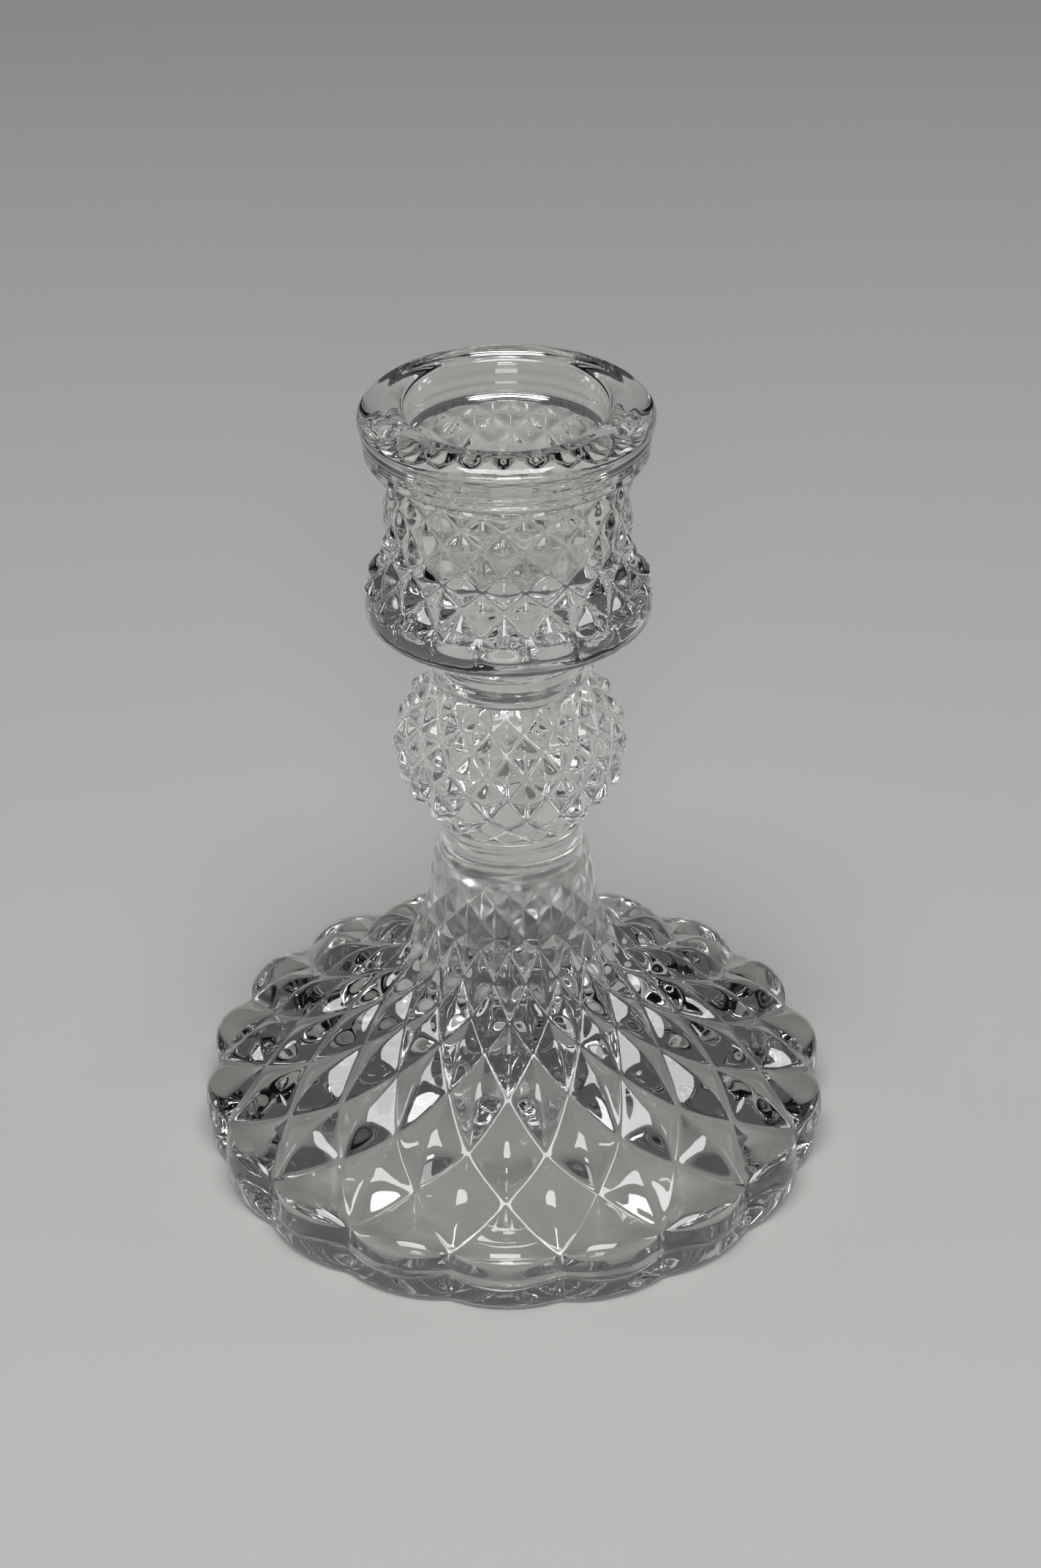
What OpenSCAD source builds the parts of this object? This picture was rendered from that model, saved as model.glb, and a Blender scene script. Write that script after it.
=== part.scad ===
// Pressed-glass candlestick for one taper candle: a scalloped, diamond-cut
// flaring foot, a plain waisted stem collar, a diamond-cut ball knop, a plain
// neck collar and a diamond-cut candle cup with a thick rolled rim.
// Millimetres, +Z up. Origin: centre of the face the foot stands on.
// One lobe of the foot points towards -Y.

/* [Overall] */
// Height from the table to the top of the rim
height = 101.5; // [94:0.5:110]
// Diamonds and scallops round every lattice (one count for the whole piece)
flutes = 18; // [16:1:20]
// Relief of the cut diamonds, 1 is the usual depth
relief = 1; // [0.6:0.05:1.15]

/* [Foot] */
// Diameter of the foot across two opposite scallops
foot_d = 80; // [74:1:90]
// Height of the upright band at the notches between scallops
band_h = 6.9; // [6:0.1:7.4]
// Depth of the notches between scallops, at the top of the band
notch = 2.1; // [1.6:0.1:2.6]
// Radius of the shallow hollow under the foot
hollow_r = 31; // [24:0.5:32]
// Height of the hollow at the middle
hollow_h = 9; // [6:0.5:11]

/* [Collars and knop] */
// Radius of the stem collar at its waist
waist_r = 8.6; // [8:0.1:8.9]
// Radius of the neck collar
neck_r = 9.6; // [9.2:0.1:9.9]
// Radius of the knop in its grooves, at the widest row
knop_r = 13.4; // [12.6:0.1:14]

/* [Candle cup] */
// Diameter of the candle the socket is made for
candle_d = 22; // [20:0.1:22.2]
// Free play all round between the candle and the socket wall
play = 0.3; // [0.2:0.05:0.4]
// Height of the straight wall of the socket
socket_h = 15; // [12:0.5:16]
// Outer radius of the rim
rim_r = 17.1; // [16.8:0.1:18]
// Radius of the skirt's sharp lower edge
skirt_r = 16.8; // [16.6:0.1:17.6]

/* [Hidden] */
N = flutes;
COLS = 2 * N;                 // lattice columns: every diamond is two wide
STEP = 180 / N;               // angle from a groove crossing to the next apex
zs = height / 101.5;          // heights below are for a 101.5 mm piece
foot_R = foot_d / 2;
bore_r = candle_d / 2 + play;
glass = [0.86, 0.88, 0.87, 0.45];

// bond planes, where one piece ends and the next begins
z_foot_top = 41.2 * zs;
z_knop_bot = 46.6 * zs;
z_knop_top = 66 * zs;
z_cup_bot = 74 * zs;

// Rows of groove crossings, bottom to top: [radius, height, apex height].
// A crossing sits at column k of row i where i + k is odd; where i + k is
// even the surface stands proud by the apex height, so the rows make one
// band of four-sided pyramids after another.
FOOT = [[37.9, 6.9, 0], [32.1, 10.2, 2], [27.2, 13.6, 1.8], [21.4, 17.7, 1.5],
        [17.1, 21.2, 1.3], [13.8, 24, 1.1], [11.6, 27.9, 1], [10.6, 32, 0.8],
        [10.3, 33.9, 0.5], [10, 36, 0.4], [9.6, 38.1, 0.4], [9.3, 40.2, 0.2]];
KNOP = [[9.4, 47, 0], [10.1, 48.4, 0.6], [11.4, 50.4, 0.9], [12.7, 52.6, 1],
        [13.4, 55.9, 1], [13.1, 58.7, 1], [12.1, 61.4, 0.9], [10.8, 63.4, 0.7], [9.8, 65, 0.3]];
CUP = [[15.4, 79, 1.3], [14.1, 81.7, 1], [14, 84.2, 0.9], [13.9, 86.5, 0.8],
       [13.9, 89.3, 0.7], [13.9, 91.6, 0.7], [13.9, 93.6, 0.6], [14, 95, 0.3]];

// the foot's rows spread with foot_d and keep the stem's own radius
function foot_row(i) = let (s = 9.2, g = (foot_R - s) / (40 - s))
    [s + (FOOT[i][0] - s) * g, FOOT[i][1] * zs, FOOT[i][2] * relief];
foot_rows = [for (i = [0 : len(FOOT) - 1]) i == 0
    ? [foot_R - notch, band_h * zs, 0] : foot_row(i)];
knop_rows = [for (q = KNOP)
    [9 + (q[0] - 9) * (knop_r - 9) / 4.4, q[1] * zs, q[2] * relief]];
cup_rows = [for (q = CUP) [q[0], q[1] * zs, q[2] * relief]];

function polar(r, a, z) = [r * sin(a), -r * cos(a), z];
function lo(rows, i) = rows[max(i - 1, 0)];
function hi(rows, i) = rows[min(i + 1, len(rows) - 1)];
// outward normal of the row's profile, as [radial, vertical]
function nrm(rows, i) = let (a = lo(rows, i), b = hi(rows, i),
    dr = b[0] - a[0], dz = b[1] - a[1], l = norm([dr, dz])) [dz / l, -dr / l];
function proud(rows, i, k) = (i + k) % 2 == 0 ? rows[i][2] : 0;
function grid_pt(rows, i, k) = let (n = nrm(rows, i), h = proud(rows, i, k))
    polar(rows[i][0] + h * n[0], k * STEP, rows[i][1] + h * n[1]);
// all grid points of the rows from 'from' up, row by row
function grid(rows, from = 0) = [for (i = [from : len(rows) - 1])
    for (k = [0 : COLS - 1]) grid_pt(rows, i, k)];
// two triangles for each cell, split along its groove; base is the index of
// the first point of row 0, odd tells which corner of cell (0, 0) is a crossing
function cells(base, n_rows) = [for (i = [0 : n_rows - 2], k = [0 : COLS - 1])
    let (k2 = (k + 1) % COLS, a = base + i * COLS + k, b = base + i * COLS + k2,
         c = base + (i + 1) * COLS + k2, d = base + (i + 1) * COLS + k)
    each ((i + k) % 2 == 1 ? [[a, c, b], [a, d, c]] : [[a, d, b], [b, d, c]])];
function ring(r, z, m) = [for (k = [0 : m - 1]) polar(r, k * 360 / m, z)];
function fan(base, m, tip, up) = [for (k = [0 : m - 1])
    let (k2 = (k + 1) % m) up ? [base + k, tip, base + k2] : [base + k, base + k2, tip]];
function band(lower, upper, m) = [for (k = [0 : m - 1]) let (k2 = (k + 1) % m)
    each [[lower + k, upper + k2, lower + k2], [lower + k, upper + k, upper + k2]]];

// --- foot ---------------------------------------------------------------
SUB = 8;                       // straight steps along one scallop's arc
ARC = SUB * N;
// A scallop is a round lobe. One ring of the outline, from the radius and
// height in its notches (rn, zn) and at its crowns (rc, zc).
function lobe_ring(rn, zn, rc, zc) = [for (k = [0 : N - 1], j = [0 : SUB - 1])
    let (c = 2 * j / SUB - 1, a = 2 * k * STEP, w = 1 - pow(abs(c), 2.2),
         x = c * rn * sin(STEP), yn = rn * cos(STEP), y = yn + (rc - yn) * w)
    [x * cos(a) + y * sin(a), x * sin(a) - y * cos(a), zn + (zc - zn) * w]];
crowns = [for (k = [0 : N - 1]) polar(foot_R - 3, 2 * k * STEP, 8.8 * zs)];

module foot_outer() {
    n = len(foot_rows);
    pts = concat(
        // 0: standing edge; ARC: lower edge of the band; 2 ARC: its upper edge
        lobe_ring(foot_R - notch - 0.1, 0, foot_R - 0.8, 0),
        lobe_ring(foot_R - notch + 0.7, 1.2 * zs, foot_R, 1.2 * zs),
        lobe_ring(foot_R - notch, band_h * zs, foot_R - 0.5, (band_h - 0.8) * zs),
        crowns,                                // 3 ARC: top of each lobe
        grid(foot_rows, 1),                    // 3 ARC + N: rows 1 and up
        ring(waist_r + 0.6, z_foot_top, COLS), // the bond face's rim
        [[0, 0, 0], [0, 0, z_foot_top]]);
    g = 3 * ARC + N;
    top = g + (n - 1) * COLS;
    tip = top + COLS;
    faces = concat(
        fan(0, ARC, tip, false),
        band(0, ARC, ARC), band(ARC, 2 * ARC, ARC),
        // lobe tops: a fan from each crown to its arc and to its two grooves
        [for (k = [0 : N - 1], j = [0 : SUB - 1])
            [2 * ARC + (k * SUB + j) % ARC, 3 * ARC + k, 2 * ARC + (k * SUB + j + 1) % ARC]],
        [for (k = [0 : N - 1]) each [
            [3 * ARC + k, g + 2 * k, 2 * ARC + ((k + 1) * SUB) % ARC],
            [3 * ARC + k, 2 * ARC + k * SUB, g + 2 * k]]],
        // diamonds of row 1: from each notch to its apex and to two crossings
        [for (k = [0 : N - 1]) let (notch_k = 2 * ARC + ((k + 1) * SUB) % ARC,
            apex = g + 2 * k + 1, l = g + 2 * k, r = g + (2 * k + 2) % COLS)
            each [[notch_k, l, apex], [notch_k, apex, r]]],
        [for (i = [1 : n - 2], k = [0 : COLS - 1])
            let (k2 = (k + 1) % COLS, a = g + (i - 1) * COLS + k, b = g + (i - 1) * COLS + k2,
                 c = g + i * COLS + k2, d = g + i * COLS + k)
            each ((i + k) % 2 == 1 ? [[a, c, b], [a, d, c]] : [[a, d, b], [b, d, c]])],
        band(top - COLS, top, COLS),
        fan(top, COLS, tip + 1, true));
    polyhedron(points = pts, faces = faces, convexity = 10);
}

module foot() {
    color(glass) difference() {
        foot_outer();
        // shallow dished hollow under the foot, so that it stands on its edge
        rotate_extrude($fn = 96) polygon(concat(
            [[0, -1], [hollow_r, -1], [hollow_r, 0]],
            [for (t = [1 : 12]) let (u = 1 - t / 12)
                [hollow_r * u, hollow_h * zs * (1 - u * u)]]));
    }
}

// --- stem collar: a plain waist between the foot and the knop --------------
module stem_collar() {
    h = z_knop_bot - z_foot_top;
    color(glass) rotate_extrude($fn = 96) polygon([
        [0, z_foot_top], [waist_r + 0.6, z_foot_top],
        [waist_r + 0.35, z_foot_top + 0.18 * h], [waist_r + 0.1, z_foot_top + 0.36 * h],
        [waist_r, z_foot_top + 0.52 * h], [waist_r, z_foot_top + 0.7 * h],
        [waist_r + 0.15, z_foot_top + 0.88 * h], [waist_r + 0.35, z_knop_bot], [0, z_knop_bot]]);
}

// --- knop: the ball, cut all over with small diamonds ----------------------
module knop() {
    n = len(knop_rows);
    pts = concat(
        ring(waist_r + 0.35, z_knop_bot, COLS),
        grid(knop_rows),
        ring(neck_r - 0.2, z_knop_top, COLS),
        [[0, 0, z_knop_bot], [0, 0, z_knop_top]]);
    top = (n + 1) * COLS;
    tip = top + COLS;
    // turned by one column, so that its lowest crossings stand over the crowns
    color(glass) rotate([0, 0, STEP]) polyhedron(points = pts, faces = concat(
        fan(0, COLS, tip, false), band(0, COLS, COLS),
        cells(COLS, n), band(top - COLS, top, COLS), fan(top, COLS, tip + 1, true)),
        convexity = 10);
}

// --- neck collar: a plain ring-turned collar under the cup -----------------
module neck_collar() {
    h = z_cup_bot - z_knop_top;
    color(glass) rotate_extrude($fn = 96) polygon([
        [0, z_knop_top], [neck_r - 0.2, z_knop_top], [neck_r - 0.1, z_knop_top + 0.08 * h],
        [neck_r + 0.1, z_knop_top + 0.2 * h], [neck_r + 0.1, z_knop_top + 0.34 * h],
        [neck_r - 0.2, z_knop_top + 0.46 * h], [neck_r - 0.1, z_knop_top + 0.7 * h],
        [neck_r + 0.1, z_knop_top + 0.9 * h], [neck_r + 0.3, z_cup_bot], [0, z_cup_bot]]);
}

// --- candle cup ------------------------------------------------------------
cup_n = len(cup_rows);
z_flange = 95.2 * zs;          // underside of the rolled rim
z_lip = 100.9 * zs;            // inner edge of the mouth
z_wall_top = 99.4 * zs;        // top of the straight socket wall
z_wall_bot = z_wall_top - socket_h;

module cup_lattice() {
    pts = concat(
        ring(9, z_cup_bot + 1, COLS),
        ring(skirt_r - 1.2, 76.4 * zs, COLS),
        ring(skirt_r - 0.5, 77.8 * zs, COLS),
        grid(cup_rows),
        ring(14, z_flange + 1, COLS),
        [[0, 0, z_cup_bot + 1], [0, 0, z_flange + 1]]);
    top = (cup_n + 3) * COLS;
    tip = top + COLS;
    polyhedron(points = pts, faces = concat(
        fan(0, COLS, tip, false), band(0, COLS, COLS), band(COLS, 2 * COLS, COLS),
        band(2 * COLS, 3 * COLS, COLS), cells(3 * COLS, cup_n),
        band(top - COLS, top, COLS), fan(top, COLS, tip + 1, true)), convexity = 10);
}

module candle_cup() {
    color(glass) difference() {
        union() {
            cup_lattice();
            // plain skirt below the diamonds, ending in a sharp lower edge
            rotate_extrude($fn = 96) polygon([[0, z_cup_bot], [neck_r + 0.3, z_cup_bot],
                [skirt_r, 74.9 * zs], [skirt_r + 0.15, 76.2 * zs],
                [skirt_r + 0.1, 77.6 * zs], [skirt_r - 0.2, 78.3 * zs], [0, 78.3 * zs]]);
            // thick rolled rim
            rotate_extrude($fn = 96) polygon([[0, z_flange - 0.3 * zs], [14.2, z_flange - 0.3 * zs],
                [15.4, z_flange], [rim_r - 0.9, z_flange + 0.1 * zs], [rim_r - 0.6, z_flange + 0.5 * zs],
                [rim_r - 0.5, z_flange + 1.4 * zs], [rim_r - 0.15, z_flange + 4 * zs],
                [rim_r, z_flange + 4.9 * zs], [rim_r - 0.15, z_flange + 5.4 * zs],
                [rim_r - 0.7, z_flange + 5.85 * zs], [rim_r - 1.5, z_flange + 6.1 * zs], [rim_r - 2.4, height],
                [13.8, z_flange + 6.25 * zs], [12.8, z_flange + 6.1 * zs], [bore_r + 0.5, z_lip], [0, z_lip]]);
        }
        // socket: a straight round wall with an eased mouth and a dished floor
        translate([0, 0, z_wall_bot]) cylinder(r = bore_r, h = socket_h + 0.01, $fn = 96);
        rotate_extrude($fn = 96) polygon([[0, z_wall_top], [bore_r, z_wall_top],
            [bore_r + 0.15, z_wall_top + 0.8 * zs], [bore_r + 0.5, z_lip],
            [bore_r + 0.5, height + 1], [0, height + 1]]);
        rotate_extrude($fn = 96) polygon([[0, z_wall_bot - 1.4], [bore_r - 4, z_wall_bot - 1.3],
            [bore_r - 1.4, z_wall_bot - 0.9], [bore_r - 0.4, z_wall_bot - 0.4],
            [bore_r, z_wall_bot + 0.01], [0, z_wall_bot + 0.01]]);
    }
}

foot();
stem_collar();
knop();
neck_collar();
candle_cup();
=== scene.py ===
"""Glass candlestick: five pressed-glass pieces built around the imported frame."""

import math

import bmesh
import bpy
import numpy as np
from mathutils import Matrix, Vector


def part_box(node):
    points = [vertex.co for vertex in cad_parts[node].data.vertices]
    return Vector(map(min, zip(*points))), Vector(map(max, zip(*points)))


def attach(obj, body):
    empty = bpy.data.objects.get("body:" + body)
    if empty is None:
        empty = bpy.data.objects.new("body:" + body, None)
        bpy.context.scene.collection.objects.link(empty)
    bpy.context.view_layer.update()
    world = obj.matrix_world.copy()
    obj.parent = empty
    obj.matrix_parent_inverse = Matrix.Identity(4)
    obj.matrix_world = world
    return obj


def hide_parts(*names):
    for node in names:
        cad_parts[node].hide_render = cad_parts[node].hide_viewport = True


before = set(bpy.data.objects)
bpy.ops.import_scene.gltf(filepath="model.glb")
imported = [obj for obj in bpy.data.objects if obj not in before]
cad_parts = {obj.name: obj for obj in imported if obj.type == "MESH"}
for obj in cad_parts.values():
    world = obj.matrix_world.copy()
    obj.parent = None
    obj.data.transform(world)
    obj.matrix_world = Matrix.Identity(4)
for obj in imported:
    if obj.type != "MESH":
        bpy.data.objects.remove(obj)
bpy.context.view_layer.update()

# ---------------------------------------------------------------- measures
# everything below is in millimetres until a mesh is made
MM = 0.001
low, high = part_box("foot")
FOOT_R = (high.y - low.y) / 2 / MM
N = 18                                   # diamonds and scallops round
STEP = math.pi / N                       # one lattice column
Z_FOOT_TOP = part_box("foot")[1].z / MM
Z_KNOP_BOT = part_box("knop")[0].z / MM
Z_KNOP_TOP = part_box("knop")[1].z / MM
Z_CUP_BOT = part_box("candle_cup")[0].z / MM
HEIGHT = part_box("candle_cup")[1].z / MM
RIM_R = (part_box("candle_cup")[1].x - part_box("candle_cup")[0].x) / 2 / MM
BORE_R = 11.3
WAIST_R = 8.6
NECK_R = 9.6
SKIRT_R = 16.8

# rows of groove crossings: radius, height, how far the diamonds stand proud
FOOT = [(37.9, 6.9, 0.0), (32.1, 10.2, 2.0), (27.2, 13.6, 1.8), (21.4, 17.7, 1.5),
        (17.1, 21.2, 1.3), (13.8, 24.0, 1.1), (11.6, 27.9, 1.0), (10.6, 32.0, 0.6),
        (10.5, 33.9, 0.25), (10.3, 36.0, 0.2), (10.0, 38.1, 0.2), (9.6, 40.2, 0.1)]
KNOP = [(9.4, 47.0, 0.0), (10.1, 48.4, 0.6), (11.4, 50.4, 0.9), (12.7, 52.6, 1.0),
        (13.4, 55.9, 1.0), (13.1, 58.7, 1.0), (12.1, 61.4, 0.9), (10.8, 63.4, 0.7), (9.8, 65.0, 0.3)]
CUP = [(15.4, 79.0, 1.3), (14.1, 81.7, 1.15), (14.0, 84.2, 0.9), (13.9, 86.5, 0.8),
       (13.9, 89.3, 0.7), (13.9, 91.6, 0.7), (13.9, 93.6, 0.6), (14.0, 95.0, 0.3)]


# ---------------------------------------------------------------- geometry helpers
def ring_xyz(r, z, theta):
    """Points of a turned surface; theta 0 points to -Y."""
    r, z, theta = np.broadcast_arrays(r, z, theta)
    return np.stack([r * np.sin(theta), -r * np.cos(theta), z], -1)


class Profile:
    """A smooth curve through the rows of a lattice, by row number."""

    def __init__(self, rows, before=None, after=None):
        p = np.array([[q[0], q[1]] for q in rows], float)
        first = np.array(before, float) if before else 2 * p[0] - p[1]
        last = np.array(after, float) if after else 2 * p[-1] - p[-2]
        self.p = np.vstack([first, p, last])
        self.n = len(rows)
        # slopes that respect uneven row heights
        d = np.diff(self.p, axis=0)
        l = np.maximum(np.hypot(d[:, 0], d[:, 1]), 1e-6)
        t = (d[:-1] / l[:-1, None] + d[1:] / l[1:, None]) / 2
        self.t = t * np.minimum(l[:-1], l[1:])[:, None] * 1.05

    def at(self, s):
        s = np.asarray(s, float)
        i = np.clip(np.floor(s).astype(int), 0, self.n - 2)
        u = (s - i)[..., None]
        a, b = self.p[i + 1], self.p[i + 2]
        ta, tb = self.t[i], self.t[i + 1]
        u2, u3 = u * u, u * u * u
        pos = (2 * u3 - 3 * u2 + 1) * a + (u3 - 2 * u2 + u) * ta + (3 * u2 - 2 * u3) * b + (u3 - u2) * tb
        der = (6 * u2 - 6 * u) * a + (3 * u2 - 4 * u + 1) * ta + (6 * u - 6 * u2) * b + (3 * u2 - 2 * u) * tb
        l = np.maximum(np.hypot(der[..., 0], der[..., 1]), 1e-9)
        nr, nz = der[..., 1] / l, -der[..., 0] / l
        return pos[..., 0], pos[..., 1], nr, nz


def spaced(n, tight):
    """n + 1 places from -1 to 1, closer together at both ends."""
    x = np.linspace(-1, 1, n + 1)
    s = np.sin(x * math.pi / 2)
    return x * (1 - tight) + s * tight


def pyramid(a, b, soft, groove, ridge):
    """Height of one diamond over its square of (a, b), 0 on its edges and about 1 at the middle.
    soft flattens the tip, groove rounds the valley between two diamonds, and ridge is how far
    the level ridges and the upright ridges are rounded."""
    def side(t):
        g = (np.sqrt(t * t + soft * soft) - soft) / (math.sqrt(1 + soft * soft) - soft)
        x = np.maximum(1 - g, 0)
        return (np.sqrt(x * x + groove * groove) - groove) / (math.sqrt(1 + groove * groove) - groove)
    x, y = side(a), side(b)
    level = 0.5 - a * b / (a * a + b * b + 0.06)         # 1 along the level ridge, 0 along the upright one
    both = x * y / np.maximum(x + y, 1e-9)
    k = (ridge[1] + (ridge[0] - ridge[1]) * level)
    k = k * both / (both + 0.15 * k)
    return np.maximum(x + y - np.sqrt((x - y) ** 2 + k * k), 0) / 2


class Builder:
    """Collects triangles of one closed piece, with a slot number for each."""

    def __init__(self):
        self.v, self.f, self.s, self.n = [], [], [], 0

    def add(self, points, tris, slot=0):
        points = np.asarray(points, float).reshape(-1, 3)
        tris = np.asarray(tris, int).reshape(-1, 3)
        self.v.append(points)
        self.f.append(tris + self.n)
        self.s.append(np.full(len(tris), slot))
        self.n += len(points)

    def sheet(self, grid, closed=True, slot=0, flip=False):
        """Triangles between the rows of a grid of points, rows x columns x 3."""
        rows, cols = grid.shape[:2]
        i, j = np.meshgrid(np.arange(rows - 1), np.arange(cols if closed else cols - 1), indexing="ij")
        j2 = (j + 1) % cols
        a, b, c, d = i * cols + j, i * cols + j2, (i + 1) * cols + j2, (i + 1) * cols + j
        t = np.concatenate([np.stack([a, b, c], -1).reshape(-1, 3), np.stack([a, c, d], -1).reshape(-1, 3)])
        self.add(grid, t[:, ::-1] if flip else t, slot)

    def cap(self, ring, tip, slot=0, rings=1):
        """A disc from a ring of points to its middle."""
        n = len(ring)
        j = np.arange(n)
        pts = np.vstack([ring, [tip]])
        self.add(pts, np.stack([j, (j + 1) % n, np.full(n, n)], -1), slot)

    def lattice(self, rows, prof, i_from, i_to, n, tight, soft, groove, ridge, low_full=False, turn=0):
        """The diamonds of rows i_from to i_to. Rows at either end are cut in half, unless low_full."""
        t = spaced(n, tight)
        t = (t - t[::-1]) / 2
        A, B = np.meshgrid(t, t, indexing="ij")
        quads = []
        for p in range(n):
            for q in range(n):
                w = n + 1
                c00, c10, c01, c11 = p * w + q, (p + 1) * w + q, p * w + q + 1, (p + 1) * w + q + 1
                mid_a, mid_b = (t[p] + t[p + 1]) / 2, (t[q] + t[q + 1]) / 2
                anti = p + q + 1 == n
                if mid_a * mid_b >= 0 and not anti:
                    quads += [(c00, c10, c11, p + q + 1 - n), (c00, c11, c01, p + q + 1 - n)]
                else:
                    # below or above the diamond's middle row
                    quads += [(c00, c10, c01, -1 if anti else p + q + 1 - n), (c10, c11, c01, 1 if anti else p + q + 1 - n)]
        tri = np.array([q[:3] for q in quads])
        side = np.array([q[3] for q in quads])
        H = pyramid(A, B, soft, groove, ridge)
        for i in range(i_from, i_to + 1):
            keep = np.ones(len(tri), bool)
            if i == i_from and not low_full:
                keep = side > 0
            elif i == i_to:
                keep = side < 0
            S = i + (A + B) / 2
            r, z, nr, nz = prof.at(S)
            h = rows[i][2] * H
            R, Z = r + h * nr, z + h * nz
            for k in range(i % 2, 2 * N, 2):
                th = (k + turn + (A - B) / 2) * STEP
                pts = ring_xyz(R, Z, th).reshape(-1, 3)
                self.add(pts, tri[keep])

    def row_ring(self, rows, prof, i, n, tight, soft, groove, ridge, turn=0):
        """The ring of points along row i, where half diamonds end: (points, angles)."""
        t = spaced(n, tight)
        t = (t - t[::-1]) / 2
        H = pyramid(t, -t, soft, groove, ridge)
        r, z, nr, nz = prof.at(np.full(n + 1, float(i)))
        pts, ang = [], []
        for k in range(i % 2, 2 * N, 2):
            th = (k + turn + t) * STEP
            h = rows[i][2] * H
            pts.append(ring_xyz(r + h * nr, z + h * nz, th)[:-1])
            ang.append(th[:-1])
        return np.vstack(pts), np.concatenate(ang), np.concatenate([H[:-1]] * N)

    def mesh(self, name, slots):
        v, f, s = np.vstack(self.v) * MM, np.vstack(self.f), np.concatenate(self.s)
        # weld points that lie on each other
        key = np.round(v / 1.5e-6).astype(np.int64)
        _, first, inv = np.unique(key, axis=0, return_index=True, return_inverse=True)
        inv = inv.reshape(-1)
        f = inv[f]
        v = v[first]
        ok = (f[:, 0] != f[:, 1]) & (f[:, 1] != f[:, 2]) & (f[:, 0] != f[:, 2])
        f, s = f[ok], s[ok]
        used = np.unique(f)
        remap = np.full(len(v), -1)
        remap[used] = np.arange(len(used))
        f, v = remap[f], v[used]
        me = bpy.data.meshes.new(name)
        me.from_pydata(v.tolist(), [], f.tolist())
        bm = bmesh.new()
        bm.from_mesh(me)
        # the last few points that rounding kept apart
        bmesh.ops.remove_doubles(bm, verts=bm.verts, dist=3e-6)
        bmesh.ops.dissolve_degenerate(bm, dist=1e-7, edges=bm.edges)
        bmesh.ops.recalc_face_normals(bm, faces=bm.faces)
        if bm.calc_volume(signed=True) < 0:
            bmesh.ops.reverse_faces(bm, faces=bm.faces)
        bm.to_mesh(me)
        open_edges = sum(1 for e in bm.edges if len(e.link_faces) != 2)
        vol = bm.calc_volume()
        bm.free()
        print(name, "verts", len(me.vertices), "faces", len(me.polygons), "open edges", open_edges,
              "volume cm3 %.2f" % (vol * 1e6))
        return me


def mark(me, slot_of, sharp_deg, slots):
    """Smooth shading, with creases where the surface turns sharply, and the material slots."""
    for m in slots:
        me.materials.append(m)
    me.polygons.foreach_set("use_smooth", np.ones(len(me.polygons), bool))
    if slot_of is not None:
        co = np.array([p.center[:] for p in me.polygons])
        no = np.array([p.normal[:] for p in me.polygons])
        me.polygons.foreach_set("material_index", slot_of(co, no).astype(np.int32))
    me.set_sharp_from_angle(angle=math.radians(sharp_deg))
    me.update()


# ---------------------------------------------------------------- materials
def node_tree(mat):
    mat.use_nodes = True
    nt = mat.node_tree
    nt.nodes.clear()
    return nt, nt.nodes, nt.links


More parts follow.
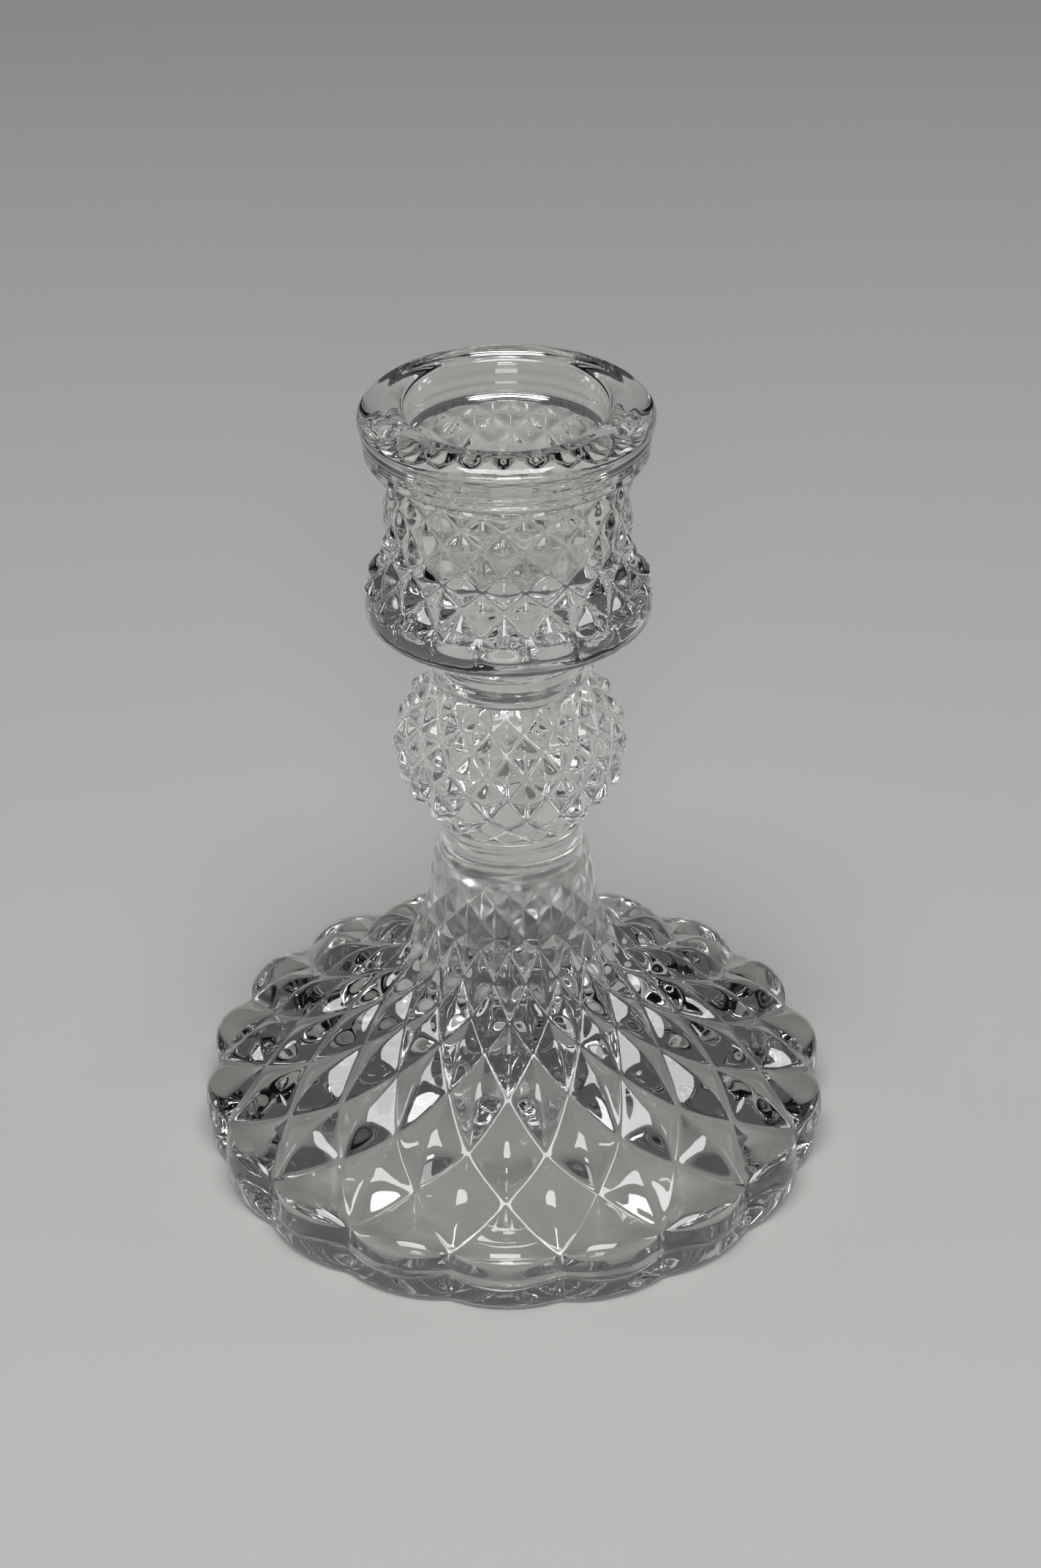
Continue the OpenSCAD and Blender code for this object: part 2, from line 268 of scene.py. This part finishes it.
def glass_material(name, seed, wave=1.0, frost=None):
    """Clear fire-polished pressed glass: faint ripples and chill marks, and a trace of warm grey."""
    mat = bpy.data.materials.new(name)
    nt, nodes, links = node_tree(mat)
    out = nodes.new("ShaderNodeOutputMaterial")
    p = nodes.new("ShaderNodeBsdfPrincipled")
    p.inputs["Transmission Weight"].default_value = 1.0
    p.inputs["IOR"].default_value = 1.56
    p.inputs["Roughness"].default_value = 0.012
    p.inputs["Base Color"].default_value = (0.965, 0.963, 0.945, 1)
    p.inputs["Specular IOR Level"].default_value = 0.5
    coord = nodes.new("ShaderNodeTexCoord")
    # slow ripples left by the mould
    ripple = nodes.new("ShaderNodeTexNoise")
    ripple.inputs["Scale"].default_value = 140.0
    ripple.inputs["Detail"].default_value = 2.0
    ripple.inputs["Roughness"].default_value = 0.4
    ripple.inputs["Distortion"].default_value = 0.3
    shift = nodes.new("ShaderNodeMapping")
    shift.inputs["Location"].default_value = (seed * 0.37, seed * 0.11, seed * 0.23)
    links.new(coord.outputs["Object"], shift.inputs["Vector"])
    links.new(shift.outputs["Vector"], ripple.inputs["Vector"])
    # fine chill marks
    fine = nodes.new("ShaderNodeTexNoise")
    fine.inputs["Scale"].default_value = 420.0
    fine.inputs["Detail"].default_value = 1.0
    links.new(shift.outputs["Vector"], fine.inputs["Vector"])
    mix = nodes.new("ShaderNodeMath")
    mix.operation = "MULTIPLY_ADD"
    mix.inputs[1].default_value = 0.05
    links.new(fine.outputs["Fac"], mix.inputs[0])
    links.new(ripple.outputs["Fac"], mix.inputs[2])
    bump = nodes.new("ShaderNodeBump")
    bump.inputs["Strength"].default_value = 0.5
    bump.inputs["Distance"].default_value = 0.00012 * wave
    links.new(mix.outputs["Value"], bump.inputs["Height"])
    links.new(bump.outputs["Normal"], p.inputs["Normal"])
    # handling haze: a little less polished in patches
    haze = nodes.new("ShaderNodeTexNoise")
    haze.inputs["Scale"].default_value = 55.0
    haze.inputs["Detail"].default_value = 5.0
    links.new(shift.outputs["Vector"], haze.inputs["Vector"])
    ramp = nodes.new("ShaderNodeMapRange")
    ramp.inputs["From Min"].default_value = 0.45
    ramp.inputs["From Max"].default_value = 0.8
    ramp.inputs["To Min"].default_value = 0.006
    ramp.inputs["To Max"].default_value = 0.04
    links.new(haze.outputs["Fac"], ramp.inputs["Value"])
    rough = ramp.outputs["Result"]
    if frost:
        # the stem came off the mould less polished: a cloudy surface from one height to another
        z0, z1, amount = frost
        axes = nodes.new("ShaderNodeSeparateXYZ")
        links.new(coord.outputs["Object"], axes.inputs["Vector"])
        rise = nodes.new("ShaderNodeMapRange")
        rise.inputs["From Min"].default_value = z0 * MM
        rise.inputs["From Max"].default_value = z1 * MM
        rise.inputs["To Min"].default_value = 0.0
        rise.inputs["To Max"].default_value = amount
        links.new(axes.outputs["Z"], rise.inputs["Value"])
        add = nodes.new("ShaderNodeMath")
        add.operation = "ADD"
        links.new(rise.outputs["Result"], add.inputs[0])
        links.new(rough, add.inputs[1])
        rough = add.outputs["Value"]
    links.new(rough, p.inputs["Roughness"])
    links.new(p.outputs["BSDF"], out.inputs["Surface"])
    return mat


def bond_material():
    """Where two pieces are fused the glass is continuous, so nothing shows."""
    mat = bpy.data.materials.new("fused_joint")
    nt, nodes, links = node_tree(mat)
    out = nodes.new("ShaderNodeOutputMaterial")
    p = nodes.new("ShaderNodeBsdfPrincipled")
    p.inputs["Base Color"].default_value = (0.93, 0.95, 0.94, 1)
    p.inputs["Alpha"].default_value = 0.0
    p.inputs["Roughness"].default_value = 1.0
    p.inputs["Specular IOR Level"].default_value = 0.0
    links.new(p.outputs["BSDF"], out.inputs["Surface"])
    return mat


bond = bond_material()
glass_foot = glass_material("pressed_glass_foot", 1, 1.0, (30.0, 35.0, 0.16))
glass_knop = glass_material("pressed_glass_knop", 2, 0.7)
glass_cup = glass_material("pressed_glass_cup", 3, 0.8)
glass_collar = glass_material("pressed_glass_collar", 4, 0.8)
glass_stem = glass_material("pressed_glass_stem", 5, 0.8, (46.0, 41.5, 0.12))


def piece(name, node, me, mats, bond_planes, sharp_deg):
    ob = bpy.data.objects.new(name, me)
    bpy.context.scene.collection.objects.link(ob)

    def slots(co, no):
        s = np.zeros(len(co), int)
        for z in bond_planes:
            s[(np.abs(co[:, 2] - z * MM) < 2e-6) & (np.abs(no[:, 2]) > 0.99)] = 1
        return s

    mark(me, slots, sharp_deg, mats)
    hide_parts(node)
    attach(ob, "root")
    return ob


def smooth_curve(points, per=4):
    """Catmull-Rom through listed profile points; a point given twice in a row is a corner."""
    pts = [np.array(p, float) for p in points]
    out = []
    seg = []
    for p in pts:
        if seg and np.allclose(seg[-1], p):
            out.append(seg)
            seg = [p]
        else:
            seg.append(p)
    out.append(seg)
    res = []
    for seg in out:
        if len(seg) == 1:
            continue
        q = [2 * seg[0] - seg[1]] + seg + [2 * seg[-1] - seg[-2]]
        for i in range(1, len(q) - 2):
            p0, p1, p2, p3 = q[i - 1], q[i], q[i + 1], q[i + 2]
            l0, l1, l2 = (max(np.linalg.norm(b - a), 1e-6) for a, b in ((p0, p1), (p1, p2), (p2, p3)))
            m1 = ((p1 - p0) / l0 + (p2 - p1) / l1) / 2 * l1
            m2 = ((p2 - p1) / l1 + (p3 - p2) / l2) / 2 * l1
            for j in range(per):
                u = j / per
                res.append((2 * u ** 3 - 3 * u * u + 1) * p1 + (u ** 3 - 2 * u * u + u) * m1
                           + (3 * u * u - 2 * u ** 3) * p2 + (u ** 3 - u * u) * m2)
        res.append(seg[-1])
    return np.array(res)


def lathe_rows(profile, ang):
    return np.stack([ring_xyz(r, z, ang) for r, z in profile])


# ---------------------------------------------------------------- foot
def make_foot():
    b = Builder()
    n, tight, soft, groove, ridge = 18, 0.5, 0.42, 0.055, (0.45, 0.1)
    prof = Profile(FOOT, before=(42.5, 4.2))
    b.lattice(FOOT, prof, 1, len(FOOT) - 1, n, tight, soft, groove, ridge, low_full=True)
    t = spaced(n, tight)
    t = (t - t[::-1]) / 2

    # the scallops: round lobes between two notches, each bulging out to its crown
    m = 28                                       # steps along one lobe
    c = spaced(m, 0.85)
    c = (c - c[::-1]) / 2
    e = 0.09                                     # rounds the root of the notch
    bulge = 1 - np.abs(c) ** 2.2
    bulge = (np.sqrt(bulge ** 2 + e * e) - e) / (math.sqrt(1 + e * e) - e)
    level = 1 - np.abs(c) ** 3                   # the lip stays level until close to the notch
    level = (np.sqrt(level ** 2 + 0.0225) - 0.15) / (math.sqrt(1.0225) - 0.15)

    def lobe_ring(rn, zn, rc, zc, ang0, bend=1.0):
        """Points across one lobe, from notch (rn, zn) to notch, out to the crown (rc, zc)."""
        w = bulge ** bend
        x = c * rn * math.sin(ang0)
        yn = rn * math.cos(ang0)
        return x, yn + (rc - yn) * w, zn + (zc - zn) * level

    # up the middle of the lobe: over the rounded lip and in to the tip of the lattice
    tip_r, tip_z = FOOT[1][0], FOOT[1][1]
    mid = smooth_curve([(39.85, 6.9), (39.7, 7.4), (39.3, 7.85), (38.7, 8.2), (37.8, 8.52), (36.4, 8.93),
                        (34.8, 9.43), (33.4, 9.83), (tip_r, tip_z)], 6)
    along = np.concatenate([[0], np.cumsum(np.hypot(*np.diff(mid, axis=0).T))])
    along /= along[-1]
    u = (1 + t) / 2
    gr, gz, _, _ = prof.at(u)                    # the groove from a notch to the tip
    mr, mz = np.interp(u, along, mid[:, 0]), np.interp(u, along, mid[:, 1])
    for k in range(0, 2 * N, 2):
        ct, st = math.cos(k * STEP), math.sin(k * STEP)
        rows = []
        for j in range(n + 1):
            x, y, z = lobe_ring(gr[j], gz[j], mr[j], mz[j], (1 - u[j]) * STEP, 1 - 0.25 * u[j])
            rows.append(np.stack([x * ct + y * st, x * st - y * ct, z], -1))
        b.sheet(np.stack(rows), closed=False)

    def full_ring(rn, zn, rc, zc):
        x, y, z = lobe_ring(rn, zn, rc, zc, STEP)
        out = []
        for k in range(0, 2 * N, 2):
            ct, st = math.cos(k * STEP), math.sin(k * STEP)
            out.append(np.stack([x * ct + y * st, x * st - y * ct, z], -1)[:-1])
        return np.vstack(out)

    # the upright band down to its rounded lower edge and the standing edge
    notch_line = smooth_curve([(FOOT[0][0], FOOT[0][1]), (37.95, 6.0), (38.0, 4.6), (38.05, 3.1), (38.2, 2.2),
                               (38.6, 1.4), (38.7, 0.85), (38.6, 0.35), (38.35, 0.08), (38.0, 0.0)], 2)
    crown_line = smooth_curve([(mr[0], mz[0]), (39.95, 6.2), (FOOT_R, 5.3), (39.98, 4.4), (39.88, 3.3),
                               (39.75, 2.2), (39.62, 1.2), (39.45, 0.5), (39.15, 0.1), (38.8, 0.0)], 2)
    band = [full_ring(a[0], a[1], q[0], q[1]) for a, q in zip(notch_line, crown_line)]
    flat = np.arctan2(band[-1][:, 0], -band[-1][:, 1])
    for r in (37.2, 35.0, 32.6):
        band.append(ring_xyz(r, 0.0, flat))
    # the dished hollow underneath
    hollow = smooth_curve([(32.0, 0.02), (31.6, 0.12), (31.2, 0.4), (30.7, 0.75), (29.5, 1.4), (27.0, 2.5),
                           (23.0, 4.05), (18.0, 5.95), (13.0, 7.4), (8.0, 8.4), (4.0, 8.88), (1.0, 9.0)], 2)
    for r, z in hollow:
        band.append(ring_xyz(r, z, flat))
    b.sheet(np.stack(band), flip=True)
    b.cap(band[-1], [0, 0, 9.0])
    # the plain end under the collar
    ring, ra, H = b.row_ring(FOOT, prof, len(FOOT) - 1, n, tight, soft, groove, ridge)
    steps = [ring]
    for f in (0.35, 0.7, 1.0):
        r = np.hypot(ring[:, 0], ring[:, 1]) * (1 - f) + (WAIST_R + 0.6) * f
        steps.append(ring_xyz(r, ring[:, 2] * (1 - f) + Z_FOOT_TOP * f, ra))
    b.sheet(np.stack(steps))
    b.cap(steps[-1], [0, 0, Z_FOOT_TOP])
    me = b.mesh("foot_glass", None)
    return piece("foot_glass", "foot", me, [glass_foot, bond], [Z_FOOT_TOP], 50)


# ---------------------------------------------------------------- collars
def turned(name, node, profile, planes, mat, sharp=60):
    b = Builder()
    ang = np.linspace(0, 2 * math.pi, 216, endpoint=False)
    g = lathe_rows(profile, ang)
    b.sheet(g)
    b.cap(g[0], [0, 0, profile[0][1]])
    b.cap(g[-1], [0, 0, profile[-1][1]])
    me = b.mesh(name, None)
    return piece(name, node, me, [mat, bond], planes, sharp)


def make_stem_collar():
    h = Z_KNOP_BOT - Z_FOOT_TOP
    pts = [(WAIST_R + 0.6, 0), (WAIST_R + 0.5, 0.08), (WAIST_R + 0.2, 0.25), (WAIST_R + 0.02, 0.42),
           (WAIST_R - 0.02, 0.6), (WAIST_R + 0.05, 0.76), (WAIST_R + 0.2, 0.9), (WAIST_R + 0.35, 1)]
    prof = smooth_curve([(r, Z_FOOT_TOP + f * h) for r, f in pts], 4)
    return turned("stem_collar_glass", "stem_collar", prof, [Z_FOOT_TOP, Z_KNOP_BOT], glass_stem)


def make_neck_collar():
    h = Z_CUP_BOT - Z_KNOP_TOP
    pts = [(NECK_R - 0.2, 0), (NECK_R - 0.15, 0.04), (NECK_R + 0.06, 0.12), (NECK_R + 0.1, 0.22),
           (NECK_R + 0.06, 0.34), (NECK_R - 0.2, 0.44), (NECK_R - 0.24, 0.5), (NECK_R - 0.12, 0.58),
           (NECK_R - 0.1, 0.68), (NECK_R - 0.16, 0.78), (NECK_R - 0.05, 0.87), (NECK_R + 0.15, 0.95),
           (NECK_R + 0.3, 1)]
    prof = smooth_curve([(r, Z_KNOP_TOP + f * h) for r, f in pts], 4)
    return turned("neck_collar_glass", "neck_collar", prof, [Z_KNOP_TOP, Z_CUP_BOT], glass_collar)


# ---------------------------------------------------------------- knop
def make_knop():
    b = Builder()
    n, tight, soft, groove, ridge = 14, 0.5, 0.14, 0.16, (0.2, 0.12)
    prof = Profile(KNOP, before=(8.9, 45.8), after=(9.3, 66.4))
    last = len(KNOP) - 1
    b.lattice(KNOP, prof, 0, last, n, tight, soft, groove, ridge, turn=1)
    for i, end_r, end_z in ((0, WAIST_R + 0.35, Z_KNOP_BOT), (last, NECK_R - 0.2, Z_KNOP_TOP)):
        ring, ra, H = b.row_ring(KNOP, prof, i, n, tight, soft, groove, ridge, turn=1)
        steps = [ring]
        for f in (0.4, 0.75, 1.0):
            r = np.hypot(ring[:, 0], ring[:, 1]) * (1 - f) + end_r * f
            steps.append(ring_xyz(r, ring[:, 2] * (1 - f) + end_z * f, ra))
        b.sheet(np.stack(steps), flip=i == 0)
        b.cap(steps[-1], [0, 0, end_z])
    me = b.mesh("knop_glass", None)
    return piece("knop_glass", "knop", me, [glass_knop, bond], [Z_KNOP_BOT, Z_KNOP_TOP], 55)


# ---------------------------------------------------------------- candle cup
def make_cup():
    b = Builder()
    n, tight, soft, groove, ridge = 16, 0.5, 0.4, 0.14, (0.4, 0.3)
    prof = Profile(CUP, before=(16.95, 77.2), after=(14.4, 96.0))
    last = len(CUP) - 1
    b.lattice(CUP, prof, 0, last, n, tight, soft, groove, ridge)
    # fans: the lowest diamonds run down to a round arc on the skirt
    ring, ra, H = b.row_ring(CUP, prof, 0, n, tight, soft, groove, ridge)
    x = np.tile(((spaced(n, tight) - spaced(n, tight)[::-1]) / 2)[:-1], N)
    r0, z0 = np.hypot(ring[:, 0], ring[:, 1]), ring[:, 2]
    base_r, base_z = CUP[0][0], CUP[0][1]
    depth = 0.95 * np.sqrt(np.maximum(1 - np.abs(x) ** 2.2, 0))      # how far an arc hangs below the row
    skirt_top_r = 16.5
    steps = [ring]
    arc_r = np.minimum(base_r + 1.2 * (depth / 0.95) ** 0.8, 16.6)
    for f in (0.3, 0.6, 0.85, 0.95):
        rr = r0 + (np.maximum(r0, arc_r) + 0.45 * H - r0) * f
        steps.append(ring_xyz(rr, z0 - depth * f, ra))
    steps.append(ring_xyz(arc_r, z0 - depth - 0.02, ra))
    # plain skirt with a sharp lower edge
    for f, r in ((0.08, None), (0.2, None), (0.4, 16.75), (0.6, 16.92), (0.8, 16.95), (0.92, 16.95), (1.0, 16.9)):
        z = (z0 - depth) * (1 - f) + 75.12 * f
        blend = min(f / 0.4, 1)
        rr = arc_r + (16.8 - arc_r) * math.sin(blend * math.pi / 2)
        if f >= 0.4:
            rr = np.full_like(arc_r, r)
        steps.append(ring_xyz(rr, z, ra))
    steps.append(ring_xyz(SKIRT_R, 74.97, ra))
    steps.append(ring_xyz(SKIRT_R - 0.12, 74.86, ra))
    under = smooth_curve([(SKIRT_R - 0.28, 74.8), (16.3, 74.76), (15.0, 74.62), (12.5, 74.4), (10.8, 74.22),
                          (NECK_R + 0.3, Z_CUP_BOT)], 3)
    for r, z in under:
        steps.append(ring_xyz(r, z, ra))
    b.sheet(np.stack(steps), flip=True)
    b.cap(steps[-1], [0, 0, Z_CUP_BOT])
    # rim, mouth, socket wall and floor
    ring, ra, H = b.row_ring(CUP, prof, last, n, tight, soft, groove, ridge)
    rim = smooth_curve([(14.2, 95.12), (14.2, 95.12), (14.6, 95.15), (15.6, 95.2), (16.1, 95.28), (16.4, 95.55),
                        (16.5, 96.0), (16.5, 96.5), (16.62, 97.0), (16.63, 97.6), (16.78, 98.2), (16.86, 98.9),
                        (16.97, 99.3), (RIM_R - 0.01, 99.65), (RIM_R - 0.08, 100.05), (RIM_R - 0.32, 100.45),
                        (RIM_R - 0.75, 100.85), (RIM_R - 1.3, 101.15), (RIM_R - 2.0, 101.37), (RIM_R - 2.8, HEIGHT),
                        (13.6, 101.42), (12.6, 101.25), (12.05, 101.05), (11.75, 100.75),
                        (11.55, 100.2), (11.42, 99.4), (11.36, 98.0), (BORE_R, 95.0), (BORE_R, 90.0),
                        (BORE_R, 86.5), (BORE_R - 0.05, 84.8), (BORE_R - 0.3, 84.1), (BORE_R - 1.2, 83.5),
                        (BORE_R - 3.5, 83.15), (4.0, 83.02), (1.0, 83.0)], 3)
    steps = [ring] + [ring_xyz(r, z, ra) for r, z in rim]
    b.sheet(np.stack(steps))
    b.cap(steps[-1], [0, 0, 83.0])
    me = b.mesh("candle_cup_glass", None)
    return piece("candle_cup_glass", "candle_cup", me, [glass_cup, bond], [Z_CUP_BOT], 50)


make_foot()
make_stem_collar()
make_knop()
make_neck_collar()
make_cup()

# ---------------------------------------------------------------- floor, world, light
bpy.context.view_layer.update()


def floor_material():
    mat = bpy.data.materials.new("pale_floor")
    nt, nodes, links = node_tree(mat)
    out = nodes.new("ShaderNodeOutputMaterial")
    p = nodes.new("ShaderNodeBsdfPrincipled")
    p.inputs["Roughness"].default_value = 0.85
    p.inputs["Base Color"].default_value = (0.45, 0.443, 0.43, 1)
    links.new(p.outputs["BSDF"], out.inputs["Surface"])
    return mat


me = bpy.data.meshes.new("floor")
s = 8.0
me.from_pydata([(-s, -s, -0.0002), (s, -s, -0.0002), (s, s, -0.0002), (-s, s, -0.0002)], [], [(0, 1, 2, 3)])
me.materials.append(floor_material())
floor = bpy.data.objects.new("floor", me)
bpy.context.scene.collection.objects.link(floor)

world = bpy.data.worlds.new("studio")
world.use_nodes = True
bg = world.node_tree.nodes.get("Background") or world.node_tree.nodes.new("ShaderNodeBackground")
bg.inputs["Color"].default_value = (0.9, 0.92, 1.0, 1)
bg.inputs["Strength"].default_value = 0.08
bpy.context.scene.world = world


def area(name, loc, target, size, power, color=(1, 1, 1)):
    light = bpy.data.lights.new(name, "AREA")
    light.shape = "RECTANGLE"
    light.size, light.size_y = size
    light.energy = power
    light.color = color
    ob = bpy.data.objects.new(name, light)
    ob.location = loc
    ob.rotation_euler = (Vector(target) - Vector(loc)).to_track_quat("-Z", "Y").to_euler()
    bpy.context.scene.collection.objects.link(ob)
    return ob


area("softbox_top", (0.0, -0.24, 0.84), (0, 0, 0.04), (0.62, 0.34), 6.2)
area("softbox_front", (0.05, -0.8, 0.6), (0, 0, 0.05), (0.26, 0.14), 1.9)
area("softbox_low", (0.02, -0.85, 0.33), (0, 0, 0.07), (0.32, 0.2), 1.2)
area("strip_left", (-0.7, 0.1, 0.25), (0, 0, 0.04), (0.08, 0.3), 0.6)
area("strip_right", (0.7, 0.15, 0.25), (0, 0, 0.04), (0.08, 0.3), 0.6)

# ---------------------------------------------------------------- camera
theta, pitch, roll = math.radians(2.0), math.radians(32.75), -0.0104
fw = Vector((-math.sin(theta) * math.cos(pitch), math.cos(theta) * math.cos(pitch), -math.sin(pitch)))
rt = Vector((math.cos(theta), math.sin(theta), 0))
up = rt.cross(fw)
cr, sr = math.cos(roll), math.sin(roll)
x_axis = cr * rt + sr * up
y_axis = cr * up - sr * rt
cam_data = bpy.data.cameras.new("camera")
cam_data.sensor_fit = "AUTO"
cam_data.sensor_width = 36
cam_data.sensor_height = 36
cam_data.lens = 70.6
cam_data.clip_start = 0.01
cam_data.clip_end = 20
cam = bpy.data.objects.new("camera", cam_data)
rot = Matrix((x_axis, y_axis, -fw)).transposed()
cam.matrix_world = Matrix.Translation((0.0122, -0.31605, 0.25321)) @ rot.to_4x4()
bpy.context.scene.collection.objects.link(cam)
bpy.context.scene.camera = cam

bpy.context.scene.view_settings.view_transform = "Standard"

bpy.context.view_layer.update()
